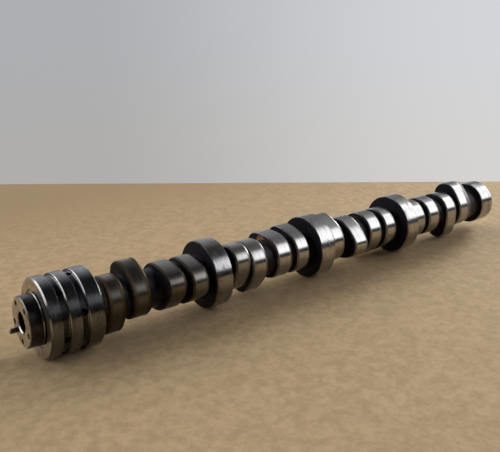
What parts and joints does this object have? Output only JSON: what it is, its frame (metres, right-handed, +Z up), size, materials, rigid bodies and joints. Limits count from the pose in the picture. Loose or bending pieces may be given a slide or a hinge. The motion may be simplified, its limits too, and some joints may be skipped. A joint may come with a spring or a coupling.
{
  "type": "camshaft",
  "caption": "One-piece camshaft for a pushrod V-type engine: stepped bearing journals, paired intake and exhaust lobes, oil grooves and a drilled nose with a timing dowel.",
  "frame": {"origin": "on the shaft's axis, in the plane of the front journal's front face, which takes the thrust", "axes": "+X along the axis towards the rear, +Z up as the shaft lies, -Y towards the camera side"},
  "size_m": [0.529, 0.062, 0.0618],
  "materials": {
    "shaft": "ground journals and lobes, dark as-cast sides",
    "dowel": "dark hardened steel"
  },
  "bodies": {
    "root": {"camshaft": "shaft", "dowel_pin": "dowel"}
  },
  "joints": []
}
